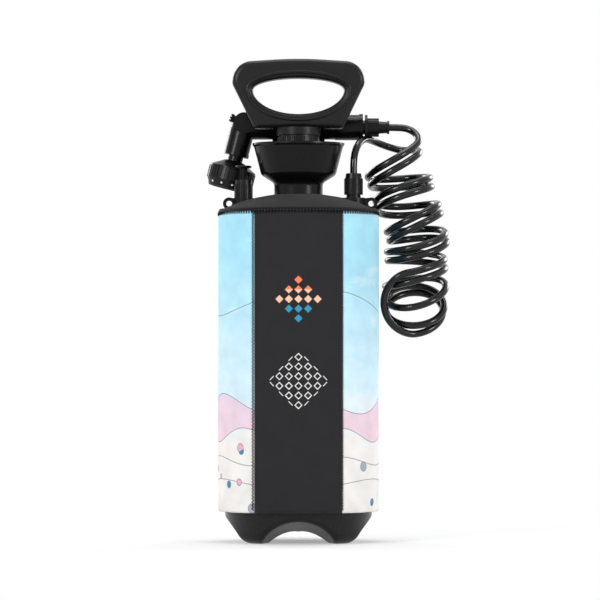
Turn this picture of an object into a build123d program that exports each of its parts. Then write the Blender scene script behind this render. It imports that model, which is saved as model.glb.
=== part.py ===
from build123d import *

import math
import os

# Sizes are in millimetres and angles in degrees. Z is up and the tank's axis is the Z axis.
# The tank stands on Z = 0, its front panel faces -Y, and the hose outlet is on the +X side.

# Bottle
tank_radius = 85.0
tank_wall = 2.5
shoulder_z = 361.0
shoulder_rise = 17.5
shoulder_round = 9.0
neck_radius = 24.3
neck_height = 13.5
foot_radius = 76.0
foot_round = 13.0
base_height = 60.0
lobe_count = 4
valley_rise = 11.0
valley_lift = 10.0
valley_half_angle = 25.3
valley_apex_reach = 43.0
valley_round = 6.0

# Funnel
funnel_wall = 2.3
funnel_height = 46.0
funnel_rim_radius = 50.6
funnel_bowl_radius = 41.0
funnel_bowl_rise = 11.0
funnel_lip = 1.6
funnel_seat_gap = 0.1

# Neoprene jacket
jacket_thickness = 3.0
jacket_gap = 0.3
jacket_bottom_z = 34.0
front_panel_half_angle = 33.0
seam_gap = 0.2

# Fittings on the shoulder
port_distance = 60.5
port_radius = 6.0
fitting_height = 17.0
relief_boss_radius = 10.5
outlet_boss_radius = 13.0
lug_thickness = 8.0
eye_radius = 3.2
eye_wall = 3.6
eye_rise = 10.6
relief_eye_reach = 15.8
outlet_eye_reach = 19.5
shank_depth = 9.0
thread_gap = 0.1

# Relief valve
relief_cap_radius = 10.2
relief_cap_height = 19.6
relief_stem_radius = 4.4
relief_pull_height = 13.2
relief_disc_radius = 9.0
relief_disc_thickness = 2.6
relief_pin_radius = 2.0
relief_flange_radius = 4.8
spring_wire = 0.5
spring_radius = 3.3
spring_turns = 3
spring_chamber_radius = 5.6
relief_chamber_height = 16.6

# Hose outlet
outlet_nut_radius = 10.4
outlet_nut_top_radius = 8.3
outlet_nut_height = 23.4
outlet_neck_radius = 7.9
outlet_neck_height = 3.5
hose_radius = 4.0
hose_bore_radius = 2.5
hose_gap = 0.3
dip_tube_radius = 3.5
dip_filter_radius = 5.5
dip_filter_height = 12.0
dip_clearance = 27.0
dip_socket_depth = 6.0
hose_hold = 13.0

# Pump
cylinder_radius = 19.6
cylinder_wall = 2.0
cylinder_depth = 196.0
cylinder_rise = 49.0
flange_thickness = 3.0
seal_thickness = 1.5
cap_radius = 22.8
cap_height = 15.5
cap_top = 5.5
rod_radius = 7.0
rod_web = 3.0
rod_running_gap = 0.06
piston_height = 14.0
piston_rest_gap = 20.0
piston_groove = 2.5
valve_stem_radius = 1.6
slide_gap = 0.3

# Handle
handle_width = 146.0
handle_height = 77.5
handle_depth = 27.0
handle_side_wall = 23.0
handle_foot_share = 0.666
handle_flare_share = 0.64
handle_crown_share = 0.058
handle_corner_share = 0.285
handle_edge_round = 6.0
handle_flare_round = 10.0
handle_crown_radius = 420.0
opening_floor_share = 0.206
opening_belly_share = 0.348
opening_top_share = 0.161
boss_radius = 24.5
boss_height = 7.3
rod_pin_radius = 2.0
rod_pin_half = 10.0
rod_socket_depth = 12.0

# Handset
handset_y = 41.0
handset_z = 458.0
handset_tube_radius = 13.5
elbow_x = -61.5
head_radius = 14.0
head_length = 32.7
head_tilt = 14.0
knuckle_radius = 11.6
knuckle_rise = 4.6
knuckle_width = 28.0
head_step = 0.5
head_cover_start = 3.0
lever_cap_radius = 9.2
lever_cap_thickness = 1.6
lever_hub_radius = 9.0
lever_width = 9.0
lever_pad_half = 8.0
lever_pad_inner = 14.1
lever_pad_outer = 15.6
lever_ridge = 1.4
lever_pad_start = 139.0
lever_pad_end = 174.0
lever_travel = 40.0
lever_ridge_count = 3
lever_pin_radius = 2.5
inlet_start_x = 40.5
inlet_end_x = 71.5
inlet_radius = 14.2
inlet_flange_radius = 15.2
inlet_flange_width = 4.0
inlet_neck_radius = 8.0
inlet_nut_gap = 2.2
inlet_nut_radius = 10.3
inlet_nut_width = 15.5
inlet_collar_radius = 14.1
inlet_collar_width = 3.0
tail_radius = 6.9
tail_length = 11.6
tail_flange_radius = 7.4
tail_flange_width = 2.4
tail_neck_radius = 5.0
inlet_nut_floor = 4.2
handset_gap = 0.3

# Spray rose, measured along the head's axis
rose_neck_radius = 8.5
rose_neck_length = 6.3
rose_cone_length = 9.6
rose_radius = 26.4
rose_ring_length = 12.9
rose_bezel_length = 8.5
rose_bezel_radius = 22.0
rose_wall = 2.5
rose_socket = 3.0
rose_spigot_radius = 5.0
rose_gap = 0.3
rose_running_gap = 0.06
spray_face_setback = 3.5
spray_face_thickness = 3.0
spray_hole_radius = 0.9

# Cradle on the funnel's back rim
saddle_distance = 26.0
saddle_width = 6.0
saddle_wall = 2.6
saddle_lip = 3.5
cradle_plate = 2.6
cradle_half_angle = 44.0

# Recoil hose
coil_radius = 36.5
coil_bore_radius = 34.4
coil_route = [
    (108.0, 32.0, 434.0),
    (122.5, 32.0, 365.0),
    (128.5, 30.0, 295.0),
    (130.0, 31.0, 226.0),
]
outlet_lead_route = [
    (60.5, 0.0, 424.0),
    (67.0, 3.0, 439.5),
    (84.0, 10.0, 444.0),
    (103.0, 23.0, 440.5),
    (122.0, 45.0, 438.0),
    (135.0, 55.0, 430.0),
]
handset_lead_route = [
    (116.0, 41.0, 458.0),
    (126.0, 38.0, 453.0),
    (132.0, 24.0, 444.0),
    (133.0, 7.0, 435.0),
]

# Heights and places that follow from the sizes above
neck_root_z = shoulder_z + shoulder_rise
neck_top_z = neck_root_z + neck_height
neck_bore_radius = neck_radius - tank_wall
funnel_neck_radius = neck_radius + funnel_seat_gap + funnel_wall
funnel_rim_z = neck_top_z + funnel_height
jacket_inner_radius = tank_radius + jacket_gap
jacket_outer_radius = jacket_inner_radius + jacket_thickness
fitting_top_z = shoulder_z + fitting_height
relief_cap_top_z = fitting_top_z + relief_cap_height
relief_flange_top_z = fitting_top_z + 2 * seal_thickness
spring_top_z = fitting_top_z + relief_chamber_height
dip_tube_top_z = shoulder_z + dip_socket_depth
outlet_nut_z = fitting_top_z + outlet_neck_height
outlet_nut_top_z = outlet_nut_z + outlet_nut_height
hose_start_z = outlet_nut_top_z - hose_hold
flange_z = neck_top_z + seal_thickness
cylinder_top_z = neck_top_z + cylinder_rise
cylinder_bottom_z = neck_top_z - cylinder_depth
cylinder_bore_radius = cylinder_radius - cylinder_wall
cap_top_z = cylinder_top_z + cap_top
boss_z = cap_top_z + slide_gap
handle_z = boss_z + boss_height
piston_z = cylinder_bottom_z + cylinder_wall + piston_rest_gap
piston_top_z = piston_z + piston_height
rod_top_z = handle_z + rod_socket_depth
rod_pin_z = handle_z + rod_socket_depth / 2
handset_tube_x = elbow_x + head_radius + 0.5
head_place = Pos(elbow_x, handset_y, handset_z) * Rot(0, head_tilt, 0)
knuckle_x = elbow_x + knuckle_rise * math.tan(math.radians(head_tilt))
knuckle_z = handset_z + knuckle_rise
inlet_nut_x = inlet_end_x + inlet_nut_gap
tail_x = inlet_nut_x + inlet_nut_width
hose_end_x = tail_x + tail_length
inlet_neck_end_x = tail_x - inlet_nut_floor - seal_thickness - 2.5
rose_ring_z = -head_length - rose_neck_length - rose_cone_length - rose_gap


def turned(points, radii=None):
    """Solid of revolution about Z from a closed outline of (radius, height) points with rounded corners."""
    radii = radii or [0] * len(points)
    outline = FilletPolyline(*points, radius=radii, close=True)
    return revolve(Plane.XZ * make_face(outline.edges()), Axis.Z)


def disc(radius, bottom, top):
    """Cylinder about Z between two heights."""
    return Pos(0, 0, bottom) * extrude(Circle(radius), top - bottom)


def ring(outer, inner, bottom, top):
    """Tube about Z between two heights."""
    return Pos(0, 0, bottom) * extrude(Circle(outer) - Circle(inner), top - bottom)


def ribbed_outline(radius, depth, count):
    """Star outline with flat ribs, for grips that are turned by hand."""
    step = 360 / count
    corners = []
    for rib in range(count):
        for turn, reach in ((0.1, radius), (0.5, radius), (0.6, radius - depth), (1.0, radius - depth)):
            angle = math.radians((rib + turn) * step)
            corners.append((reach * math.cos(angle), reach * math.sin(angle)))
    return make_face(Polyline(*corners, close=True).edges())


def dome_centre(wide_radius, wide_z, narrow_radius, narrow_z):
    """Height on the axis of the centre of the sphere through two circles about the axis."""
    squares = narrow_radius**2 + narrow_z**2 - wide_radius**2 - wide_z**2
    return squares / (2 * (narrow_z - wide_z))


def dome_arc(centre_z, radius, start_r, end_r, side):
    """Arc of a sphere's half section between two distances from the axis, above or below its centre."""
    start = side * math.degrees(math.acos(start_r / radius))
    end = side * math.degrees(math.acos(end_r / radius))
    return CenterArc((0, centre_z), radius, start_angle=start, arc_size=end - start)


def shoulder_height(distance):
    """Height of the bottle's shoulder at a distance from the axis."""
    centre_z = dome_centre(tank_radius, shoulder_z, neck_radius, neck_root_z)
    radius = math.hypot(tank_radius, shoulder_z - centre_z)
    return centre_z + math.sqrt(radius**2 - distance**2)


def bottle_section(inset):
    """Half section of the bottle, drawn inset inside its outer skin."""
    wall = tank_radius - inset
    neck = neck_radius - inset
    top = neck_top_z + inset
    slope = (tank_radius - foot_radius) / base_height
    shift = inset * math.hypot(1, slope)
    foot = (foot_radius - shift + slope * inset, inset)
    base_top = (wall, (wall + shift - foot_radius) / slope)
    shoulder_centre = dome_centre(tank_radius, shoulder_z, neck_radius, neck_root_z)
    shoulder_radius = math.hypot(tank_radius, shoulder_z - shoulder_centre) - inset
    shoulder = dome_arc(shoulder_centre, shoulder_radius, wall, neck, 1)
    section = make_face(
        [
            Line((0, inset), foot).edge(),
            Line(foot, base_top).edge(),
            Line(base_top, shoulder @ 0).edge(),
            shoulder.edge(),
            Line(shoulder @ 1, (neck, top)).edge(),
            Line((neck, top), (0, top)).edge(),
            Line((0, top), (0, inset)).edge(),
        ]
    )
    foot_corner = section.vertices().sort_by_distance(foot)[0]
    section = fillet(foot_corner, foot_round - inset)
    shoulder_corner = section.vertices().sort_by_distance(shoulder @ 0)[0]
    return fillet(shoulder_corner, shoulder_round - inset)


def bottle_form(inset):
    """Body of the bottle with its valleys, drawn inset inside its outer skin."""
    form = revolve(Plane.XZ * bottle_section(inset), Axis.Z)
    for lobe in range(lobe_count):
        form -= valley(360 * lobe / lobe_count, inset)
    return form


def valley(direction, inset):
    """Conical furrow between two lobes of the foot, which widens and rises outwards."""
    spread = math.tan(math.radians(valley_half_angle))
    apex_z = valley_rise - valley_apex_reach * math.tan(math.radians(valley_lift))
    apex = Pos(-valley_apex_reach, 0, apex_z) * Rot(0, 90 + valley_half_angle - valley_lift, 0)
    back = inset / math.sin(math.radians(valley_half_angle))
    near = valley_apex_reach / 4
    far = valley_apex_reach + 2 * tank_radius
    cone = Cone(
        (near + back) * spread, (far + back) * spread, far - near, align=(Align.CENTER, Align.CENTER, Align.MIN)
    )
    return Rot(0, 0, direction) * apex * Pos(0, 0, near) * cone


def tank_bottle():
    """Hollow bottle with two ports in its shoulder."""
    outer = bottle_form(0)
    rims = [e for e in outer.edges() if e.geom_type in (GeomType.BSPLINE, GeomType.HYPERBOLA)]
    outer = fillet([e for e in rims if e.center().Z < base_height], valley_round)
    bottle = outer - bottle_form(tank_wall)
    for side in (-1, 1):
        bottle -= Pos(side * port_distance, 0, 0) * disc(port_radius, shoulder_z - tank_wall, neck_top_z)
    return bottle


def filling_funnel():
    """Bowl with a socket that sits on the neck."""
    socket = neck_radius + funnel_seat_gap
    socket_bottom = neck_root_z + funnel_seat_gap
    floor_z = neck_top_z + 2
    bowl_z = neck_top_z + funnel_bowl_rise
    wall_top = funnel_rim_z - 4
    points = [
        (socket, socket_bottom),
        (funnel_neck_radius, socket_bottom),
        (funnel_neck_radius, floor_z),
        (funnel_bowl_radius, bowl_z),
        (funnel_rim_radius - funnel_lip, wall_top),
        (funnel_rim_radius, funnel_rim_z - 2),
        (funnel_rim_radius, funnel_rim_z),
        (funnel_rim_radius - funnel_wall, funnel_rim_z),
        (funnel_rim_radius - funnel_lip - funnel_wall, wall_top),
        (funnel_bowl_radius - funnel_wall, bowl_z + funnel_wall / 2),
        (socket + funnel_wall / 2, floor_z + funnel_wall),
        (socket, neck_top_z),
    ]
    return turned(points, [0, 0, 6, 8, 0, 0, 0, 0, 0, 0, 0, 0])


def jacket_panel(start, end):
    """Sheet of the jacket between two directions round the tank, seen from above."""
    half_seam = math.degrees(seam_gap / 2 / tank_radius)
    section = Pos((jacket_inner_radius + jacket_outer_radius) / 2, (jacket_bottom_z + shoulder_z) / 2) * Rectangle(
        jacket_thickness, shoulder_z - jacket_bottom_z
    )
    sheet = revolve(Plane.XZ * section, Axis.Z, end - start - 2 * half_seam)
    return Rot(0, 0, start + half_seam) * sheet


def fitting_outline(boss_radius, eye_reach, grow=0.0):
    """Plan view of a fitting: its boss and the lug that carries the strap eye."""
    reach = eye_reach + eye_radius + eye_wall + grow
    lug = Pos(reach / 2, 0) * Rectangle(reach, lug_thickness + 2 * grow)
    return Circle(boss_radius + grow) + lug


def shoulder_cover():
    """Neoprene cover on the shoulder, with room for the funnel's neck and the two fittings."""
    seam_z = shoulder_z + seam_gap
    top_z = neck_root_z + jacket_gap + jacket_thickness
    section = bottle_section(-jacket_gap - jacket_thickness) - bottle_section(-jacket_gap)
    inner_edge = funnel_neck_radius + jacket_gap
    section &= Pos((inner_edge + jacket_outer_radius) / 2, (seam_z + top_z) / 2) * Rectangle(
        jacket_outer_radius - inner_edge, top_z - seam_z
    )
    cover = revolve(Plane.XZ * section, Axis.Z)
    for turn, boss, reach in ((0, outlet_boss_radius, outlet_eye_reach), (180, relief_boss_radius, relief_eye_reach)):
        plan = fitting_outline(boss, reach, jacket_gap)
        cover -= Rot(0, 0, turn) * Pos(port_distance, 0, shoulder_z) * extrude(plan, 2 * shoulder_rise)
    return cover


def fitting(boss_radius, eye_reach):
    """Moulded fitting on the shoulder: boss, lug with strap eye, and a threaded shank through the port."""
    eye_top = eye_rise + eye_radius + eye_wall
    lug_corners = ((0, 0), (eye_reach, 0), (eye_reach, eye_top), (0, fitting_height - 2))
    eye = Pos(eye_reach, eye_rise) * Circle(eye_radius + eye_wall)
    side_view = make_face(Polyline(*lug_corners, close=True).edges()) + eye
    side_view -= Pos(eye_reach, eye_rise) * Circle(eye_radius)
    lug = extrude(Plane.XZ * side_view, lug_thickness / 2, both=True)
    body = Pos(port_distance, 0, shoulder_z) * (lug + disc(boss_radius, 0, fitting_height))
    body -= revolve(Plane.XZ * bottle_section(0), Axis.Z)
    shoulder = shoulder_height(port_distance)
    body += Pos(port_distance, 0, 0) * disc(port_radius - thread_gap, shoulder - shank_depth, shoulder + 2)
    return body


def outlet_base():
    """Outlet fitting with a bore for the water and a socket for the dip tube."""
    body = fitting(outlet_boss_radius, outlet_eye_reach)
    body -= Pos(port_distance, 0, 0) * disc(hose_bore_radius, 0, fitting_top_z)
    return body - Pos(port_distance, 0, 0) * disc(dip_tube_radius + thread_gap, 0, dip_tube_top_z)


def relief_base():
    """Valve fitting with the vent bore, built on the outlet's side and turned to the other."""
    body = fitting(relief_boss_radius, relief_eye_reach)
    body -= Pos(port_distance, 0, 0) * disc(hose_bore_radius, 0, fitting_top_z)
    return Rot(0, 0, 180) * body


def dip_tube():
    """Stiff tube from the outlet down to the filter."""
    return Pos(port_distance, 0, 0) * ring(
        dip_tube_radius, hose_bore_radius, dip_clearance + dip_filter_height / 2, dip_tube_top_z
    )


def dip_filter():
    """Filter cup with slots, pushed over the dip tube's lower end."""
    top = dip_clearance + dip_filter_height
    cup = disc(dip_filter_radius, dip_clearance, top)
    cup -= disc(dip_tube_radius + thread_gap, dip_clearance + dip_filter_height / 2, top)
    cup -= disc(dip_tube_radius, dip_clearance + tank_wall, top)
    slot = Pos(0, 0, dip_clearance + dip_filter_height / 3) * Box(3 * dip_filter_radius, 1.6, dip_filter_height / 4)
    for turn in (0, 60, 120):
        cup -= Rot(0, 0, turn) * slot
    return Pos(port_distance, 0, 0) * cup


def relief_cap():
    """Ribbed cap with the spring's chamber and a smooth band at its top."""
    band = 0.23 * relief_cap_height
    ribs = extrude(ribbed_outline(relief_cap_radius, 0.6, 26), relief_cap_height - band)
    cap = ribs + disc(relief_cap_radius - 1, 0, relief_cap_height)
    cap -= disc(spring_chamber_radius, 0, relief_chamber_height)
    cap -= disc(relief_pin_radius + rod_running_gap, 0, relief_cap_height)
    return Pos(-port_distance, 0, fitting_top_z) * cap


def relief_pull():
    """Pull disc on a fluted stem, with the pin and flange that carry the seal."""
    flange_bottom = fitting_top_z + seal_thickness
    stem_bottom = relief_cap_top_z + slide_gap
    stem_top = relief_cap_top_z + relief_pull_height
    pull = disc(relief_flange_radius, flange_bottom, relief_flange_top_z)
    pull += disc(relief_pin_radius, flange_bottom, stem_top)
    pull += Pos(0, 0, stem_bottom) * extrude(ribbed_outline(relief_stem_radius, 0.7, 10), stem_top - stem_bottom)
    plate = turned(
        [
            (0, stem_top),
            (relief_disc_radius - 1, stem_top),
            (relief_disc_radius, stem_top + 1),
            (relief_disc_radius, stem_top + relief_disc_thickness - 1),
            (relief_disc_radius - 1, stem_top + relief_disc_thickness),
            (0, stem_top + relief_disc_thickness),
        ]
    )
    return Pos(-port_distance, 0, 0) * (pull + plate)


def relief_seal():
    """Rubber disc under the flange, on the mouth of the vent bore."""
    return Pos(-port_distance, 0, 0) * disc(
        relief_flange_radius - 0.3, fitting_top_z, fitting_top_z + seal_thickness
    )


def relief_spring():
    """Spring of square wire between the flange and the roof of the cap's chamber."""
    length = spring_top_z - relief_flange_top_z - 3 * spring_wire - 2 * thread_gap
    path = Helix(length / spring_turns, length, spring_radius)
    start = Plane(origin=path @ 0, z_dir=path % 0)
    spring = sweep(start * Rectangle(2 * spring_wire, 2 * spring_wire), path=path)
    return Pos(-port_distance, 0, relief_flange_top_z + spring_wire + thread_gap) * spring


def outlet_barb():
    """Hose tail that stands on the outlet fitting inside the nut."""
    barb = disc(outlet_neck_radius, fitting_top_z, outlet_nut_z)
    barb += disc(hose_radius - 1, outlet_nut_z, hose_start_z)
    barb -= disc(hose_bore_radius - 0.5, fitting_top_z, hose_start_z)
    return Pos(port_distance, 0, 0) * barb


def outlet_nut():
    """Ribbed nut that clamps the hose on its tail."""
    ribs = 0.75 * outlet_nut_height
    nut = extrude(ribbed_outline(outlet_nut_radius, 0.7, 24), ribs)
    nut += turned(
        [
            (0, 0),
            (outlet_nut_radius - 0.9, 0),
            (outlet_nut_radius - 0.9, ribs),
            (outlet_nut_top_radius, outlet_nut_height),
            (0, outlet_nut_height),
        ]
    )
    nut -= disc(hose_radius + hose_gap, 0, outlet_nut_height)
    return Pos(port_distance, 0, outlet_nut_z) * nut


def handset_cradle():
    """Clip-on plate with two saddles, on the back of the funnel's rim."""
    plate_z = funnel_rim_z + funnel_seat_gap
    plate_top = plate_z + cradle_plate
    skirt_radius = funnel_rim_radius + funnel_seat_gap
    skirt_outer = skirt_radius + 0.7 * saddle_wall
    section = make_face(
        Polyline(
            (funnel_rim_radius - 2 * saddle_width, plate_z),
            (skirt_radius, plate_z),
            (skirt_radius, plate_z - 2 * saddle_wall),
            (skirt_outer, plate_z - 2 * saddle_wall),
            (skirt_outer, plate_top),
            (funnel_rim_radius - 2 * saddle_width, plate_top),
            close=True,
        ).edges()
    )
    cradle = Rot(0, 0, 90 - cradle_half_angle) * revolve(Plane.XZ * section, Axis.Z, 2 * cradle_half_angle)
    inner = handset_tube_radius + handset_gap
    outer = inner + saddle_wall
    mouth = Pos(saddle_lip / 2, 0) * Rectangle(saddle_lip, 2 * inner)
    saddle = (Circle(outer) + Pos(saddle_lip / 2, 0) * Rectangle(saddle_lip, 2 * outer)) - Circle(inner) - mouth
    saddle -= Pos(saddle_lip + outer, 0) * Rectangle(2 * outer, 3 * outer)
    post_height = handset_z - inner - plate_top
    for side in (-1, 1):
        cradle += Pos(side * saddle_distance, handset_y, handset_z) * extrude(
            Plane.YZ * saddle, saddle_width / 2, both=True
        )
        post = Box(saddle_width, saddle_width, post_height)
        cradle += Pos(side * saddle_distance, handset_y, plate_top + post_height / 2 - saddle_wall / 2) * post
    return cradle


def neck_seal():
    """Gasket between the bottle's neck and the pump's flange."""
    return ring(neck_radius - thread_gap, neck_bore_radius + thread_gap, neck_top_z, flange_z)


def pump_cylinder():
    """Pump barrel with its flange, gussets, thread band and pierced floor."""
    barrel = ring(cylinder_radius, cylinder_bore_radius, cylinder_bottom_z, cylinder_top_z)
    barrel += ring(neck_bore_radius - slide_gap, cylinder_bore_radius, neck_root_z + 2, neck_top_z - 1)
    barrel += ring(neck_radius - slide_gap, cylinder_bore_radius, flange_z, flange_z + flange_thickness)
    gusset_run = neck_radius - slide_gap - 1
    gusset = extrude(
        Plane.XZ
        * make_face(
            Polyline(
                (cylinder_bore_radius + 1, 0),
                (gusset_run, 0),
                (cylinder_bore_radius + 1, 5 * flange_thickness),
                close=True,
            ).edges()
        ),
        1,
        both=True,
    )
    for turn in range(0, 360, 60):
        barrel += Rot(0, 0, turn) * Pos(0, 0, flange_z + flange_thickness) * gusset
    floor = disc(cylinder_radius - 0.5, cylinder_bottom_z, cylinder_bottom_z + cylinder_wall)
    floor -= disc(valve_stem_radius + thread_gap, cylinder_bottom_z, cylinder_top_z)
    for turn in range(0, 360, 90):
        port = Pos(cylinder_bore_radius / 2, 0, 0) * disc(2 * valve_stem_radius, cylinder_bottom_z, cylinder_top_z)
        floor -= Rot(0, 0, turn) * port
    return barrel + floor


def foot_valve():
    """Rubber flap under the barrel's floor, held by its stem."""
    flap = disc(cylinder_bore_radius * 0.8, cylinder_bottom_z - seal_thickness, cylinder_bottom_z)
    return flap + disc(valve_stem_radius, cylinder_bottom_z - seal_thickness, cylinder_bottom_z + 2 * cylinder_wall)


def pump_cap():
    """Ribbed cap with the rod's guide, screwed over the top of the barrel."""
    bottom = cap_top_z - cap_height
    cap = Pos(0, 0, bottom) * extrude(ribbed_outline(cap_radius, 0.7, 30), cap_height - 1.5)
    cap += disc(cap_radius - 1.2, bottom, cap_top_z)
    cap -= disc(cylinder_radius + thread_gap, bottom, cylinder_top_z)
    return cap - disc(rod_radius + rod_running_gap, bottom, cap_top_z)


def handle_outline():
    """Outer outline of the handle: a narrow foot, flared sides and a slightly crowned top."""
    half = handle_width / 2
    foot = handle_foot_share * half
    top = handle_height * (1 - handle_crown_share)
    flare = handle_height * handle_flare_share
    brow = half - 2
    points = [(-foot, 0), (foot, 0), (half, flare), (brow, top), (0, handle_height), (-brow, top), (-half, flare)]
    corner = handle_height * handle_corner_share
    side = [handle_flare_round, corner]
    radii = [3, 3] + side + [handle_crown_radius] + side[::-1]
    return make_face(FilletPolyline(*points, radius=radii, close=True).edges())


def handle_opening():
    """Finger opening: a deep half ellipse below a flat one."""
    half = handle_width / 2 - handle_side_wall
    depth = handle_height * opening_belly_share
    rise = handle_height * opening_top_share
    centre = (0, handle_height * opening_floor_share + depth)
    belly = EllipticalCenterArc(centre, half, depth, start_angle=180, arc_size=180)
    brow = EllipticalCenterArc(centre, half, rise, start_angle=0, arc_size=180)
    return make_face([belly.edge(), brow.edge()])


def handle_grip():
    """Handle with rounded edges and the round boss that lands on the pump's cap."""
    loop = extrude(Plane.XZ * (handle_outline() - handle_opening()), handle_depth / 2, both=True)
    faces = loop.faces().sort_by(Axis.Y)
    rims = [e for e in faces[0].edges() + faces[-1].edges() if e.center().Z > 1]
    loop = fillet(rims, handle_edge_round)
    grip = Pos(0, 0, handle_z) * loop + disc(boss_radius, boss_z, handle_z + 1)
    grip -= disc(rod_radius + thread_gap, boss_z, rod_top_z)
    pin_hole = Pos(0, 0, rod_pin_z) * Rot(90, 0, 0) * extrude(Circle(rod_pin_radius + thread_gap), rod_pin_half, both=True)
    return grip - pin_hole


def rod_pin():
    """Pin that ties the rod to the handle."""
    return Pos(0, 0, rod_pin_z) * Rot(90, 0, 0) * extrude(Circle(rod_pin_radius), rod_pin_half, both=True)


def pump_rod():
    """Moulded rod: a cross section with round collars, and round ends."""
    length_top = rod_top_z - thread_gap
    blade = Box(2 * rod_radius - 0.6, rod_web, length_top - piston_top_z)
    rod = Pos(0, 0, (length_top + piston_top_z) / 2) * (blade + Rot(0, 0, 90) * blade)
    rod += disc(rod_radius, cap_top_z - 2 * cap_top, length_top)
    rod += disc(rod_radius, piston_top_z, piston_top_z + piston_height / 2)
    collar_step = (cap_top_z - piston_top_z) / 6
    for collar in range(1, 6):
        middle = piston_top_z + collar * collar_step
        rod += disc(rod_radius, middle - rod_web / 2, middle + rod_web / 2)
    hole = extrude(Circle(rod_pin_radius + thread_gap), rod_pin_half, both=True)
    return rod - Pos(0, 0, rod_pin_z) * Rot(90, 0, 0) * hole


def piston():
    """Piston with the groove that holds its cup seal."""
    radius = cylinder_bore_radius - slide_gap
    groove = radius - piston_groove
    low = piston_z + piston_height / 3
    high = piston_z + 2 * piston_height / 3
    body = disc(radius, piston_z, low) + disc(groove, low, high) + disc(radius, high, piston_top_z)
    return body


def piston_cup():
    """Rubber cup in the piston's groove."""
    low = piston_z + piston_height / 3
    high = piston_z + 2 * piston_height / 3
    return ring(cylinder_bore_radius - rod_running_gap, cylinder_bore_radius - slide_gap - piston_groove, low, high)


def along_x(solid, x):
    """Turn a solid built about Z so that it lies along +X on the handset's axis, starting at x."""
    return Pos(x, handset_y, handset_z) * Rot(0, 90, 0) * solid


def across(solid):
    """Turn a solid built about Z so that it lies across the knuckle, along Y."""
    return Pos(knuckle_x, handset_y, knuckle_z) * Rot(90, 0, 0) * solid


def handset_tube():
    """Hand grip of the handset with rings cut into its middle."""
    length = inlet_start_x - handset_tube_x
    tube = disc(handset_tube_radius, 0, length)
    for groove in range(-2, 3):
        middle = length / 2 + 7 * groove
        tube -= ring(2 * handset_tube_radius, handset_tube_radius - 0.7, middle - 1, middle + 1)
    return along_x(tube, handset_tube_x)


def head_seam():
    """Side view of the part of the head that belongs to the cover: a strip on its outer side and the lip."""
    reach = 2 * head_radius
    strip = -0.62 * head_radius
    lip = 0.12 * head_length - head_length
    points = [(-reach, 0), (strip, 0), (strip, lip), (reach, lip), (reach, -reach * 2), (-reach, -reach * 2)]
    return make_face(FilletPolyline(*points, radius=[0, 0, 4, 0, 0, 0], close=True).edges())


def head_cover():
    """Outer strip and lip of the head, a shade larger than the head itself."""
    barrel = disc(head_radius, -head_length, -head_cover_start)
    seam = extrude(Plane.XZ * head_seam(), 2 * head_radius, both=True)
    return head_place * (barrel & seam)


def spray_head():
    """Elbow of the handset: knuckle with the lever's slot, and the head that hangs from it."""
    inner = head_radius - head_step
    body = head_place * (disc(inner, -head_length, 0) + Sphere(inner))
    body += along_x(disc(inner, 0, handset_tube_x - elbow_x), elbow_x)
    body += across(extrude(Circle(knuckle_radius), knuckle_width / 2, both=True))
    seam = extrude(Plane.XZ * head_seam(), 2 * head_radius, both=True)
    body -= head_place * (seam & disc(2 * head_radius, -head_length, -head_cover_start))
    slot_width = lever_width / 2 + handset_gap
    body -= across(extrude(Circle(lever_hub_radius + handset_gap), slot_width, both=True))
    body -= across(extrude(sector(2 * knuckle_radius, lever_pad_start - lever_travel - 6, lever_pad_end + 6), slot_width, both=True))
    return body - across(extrude(Circle(lever_pin_radius + thread_gap), knuckle_width, both=True))


def sector(radius, start, end):
    """Pie slice between two directions, measured from +X towards +Z once it stands across the knuckle."""
    steps = 6
    corners = [(0, 0)]
    for step in range(steps + 1):
        angle = math.radians(start + (end - start) * step / steps)
        corners.append((radius * math.cos(angle), radius * math.sin(angle)))
    return make_face(Polyline(*corners, close=True).edges())


def thumb_lever():
    """Lever with its hub on the pin, an arm through the slot and a ridged thumb pad."""
    lever = extrude(Circle(lever_hub_radius), lever_width / 2, both=True)
    lever += extrude(sector(lever_pad_outer, lever_pad_start, lever_pad_end), lever_width / 2, both=True)
    pad = sector(lever_pad_outer, lever_pad_start, lever_pad_end) - Circle(lever_pad_inner)
    lever += extrude(pad, lever_pad_half, both=True)
    for ridge in range(lever_ridge_count):
        angle = lever_pad_start + (lever_pad_end - lever_pad_start) * (ridge + 0.5) / lever_ridge_count
        bar = Pos((lever_pad_inner + lever_pad_outer + lever_ridge) / 2, 0, 0) * Box(
            lever_pad_outer - lever_pad_inner + lever_ridge, 1.8, 2 * lever_pad_half
        )
        lever += Rot(0, 0, angle) * bar
    lever -= extrude(Circle(lever_pin_radius + rod_running_gap), 2 * lever_pad_half, both=True)
    return across(lever)


def lever_pin():
    """Pin across the knuckle with a round cap at each end."""
    half = knuckle_width / 2
    pin = extrude(Circle(lever_pin_radius), half, both=True)
    cap = disc(lever_cap_radius, half, half + lever_cap_thickness)
    return across(pin + cap + Rot(180, 0, 0) * cap)


def inlet_body():
    """Valve housing at the handset's other end, with its flange and threaded neck."""
    length = inlet_end_x - inlet_start_x
    outline = [
        (0, 0),
        (inlet_radius, 0),
        (inlet_radius, length - inlet_flange_width),
        (inlet_flange_radius, length - inlet_flange_width),
        (inlet_flange_radius, length),
        (inlet_neck_radius, length),
        (inlet_neck_radius, inlet_neck_end_x - inlet_start_x),
        (0, inlet_neck_end_x - inlet_start_x),
    ]
    return along_x(turned(outline) - disc(hose_radius, length / 2, inlet_neck_end_x - inlet_start_x), inlet_start_x)


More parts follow.
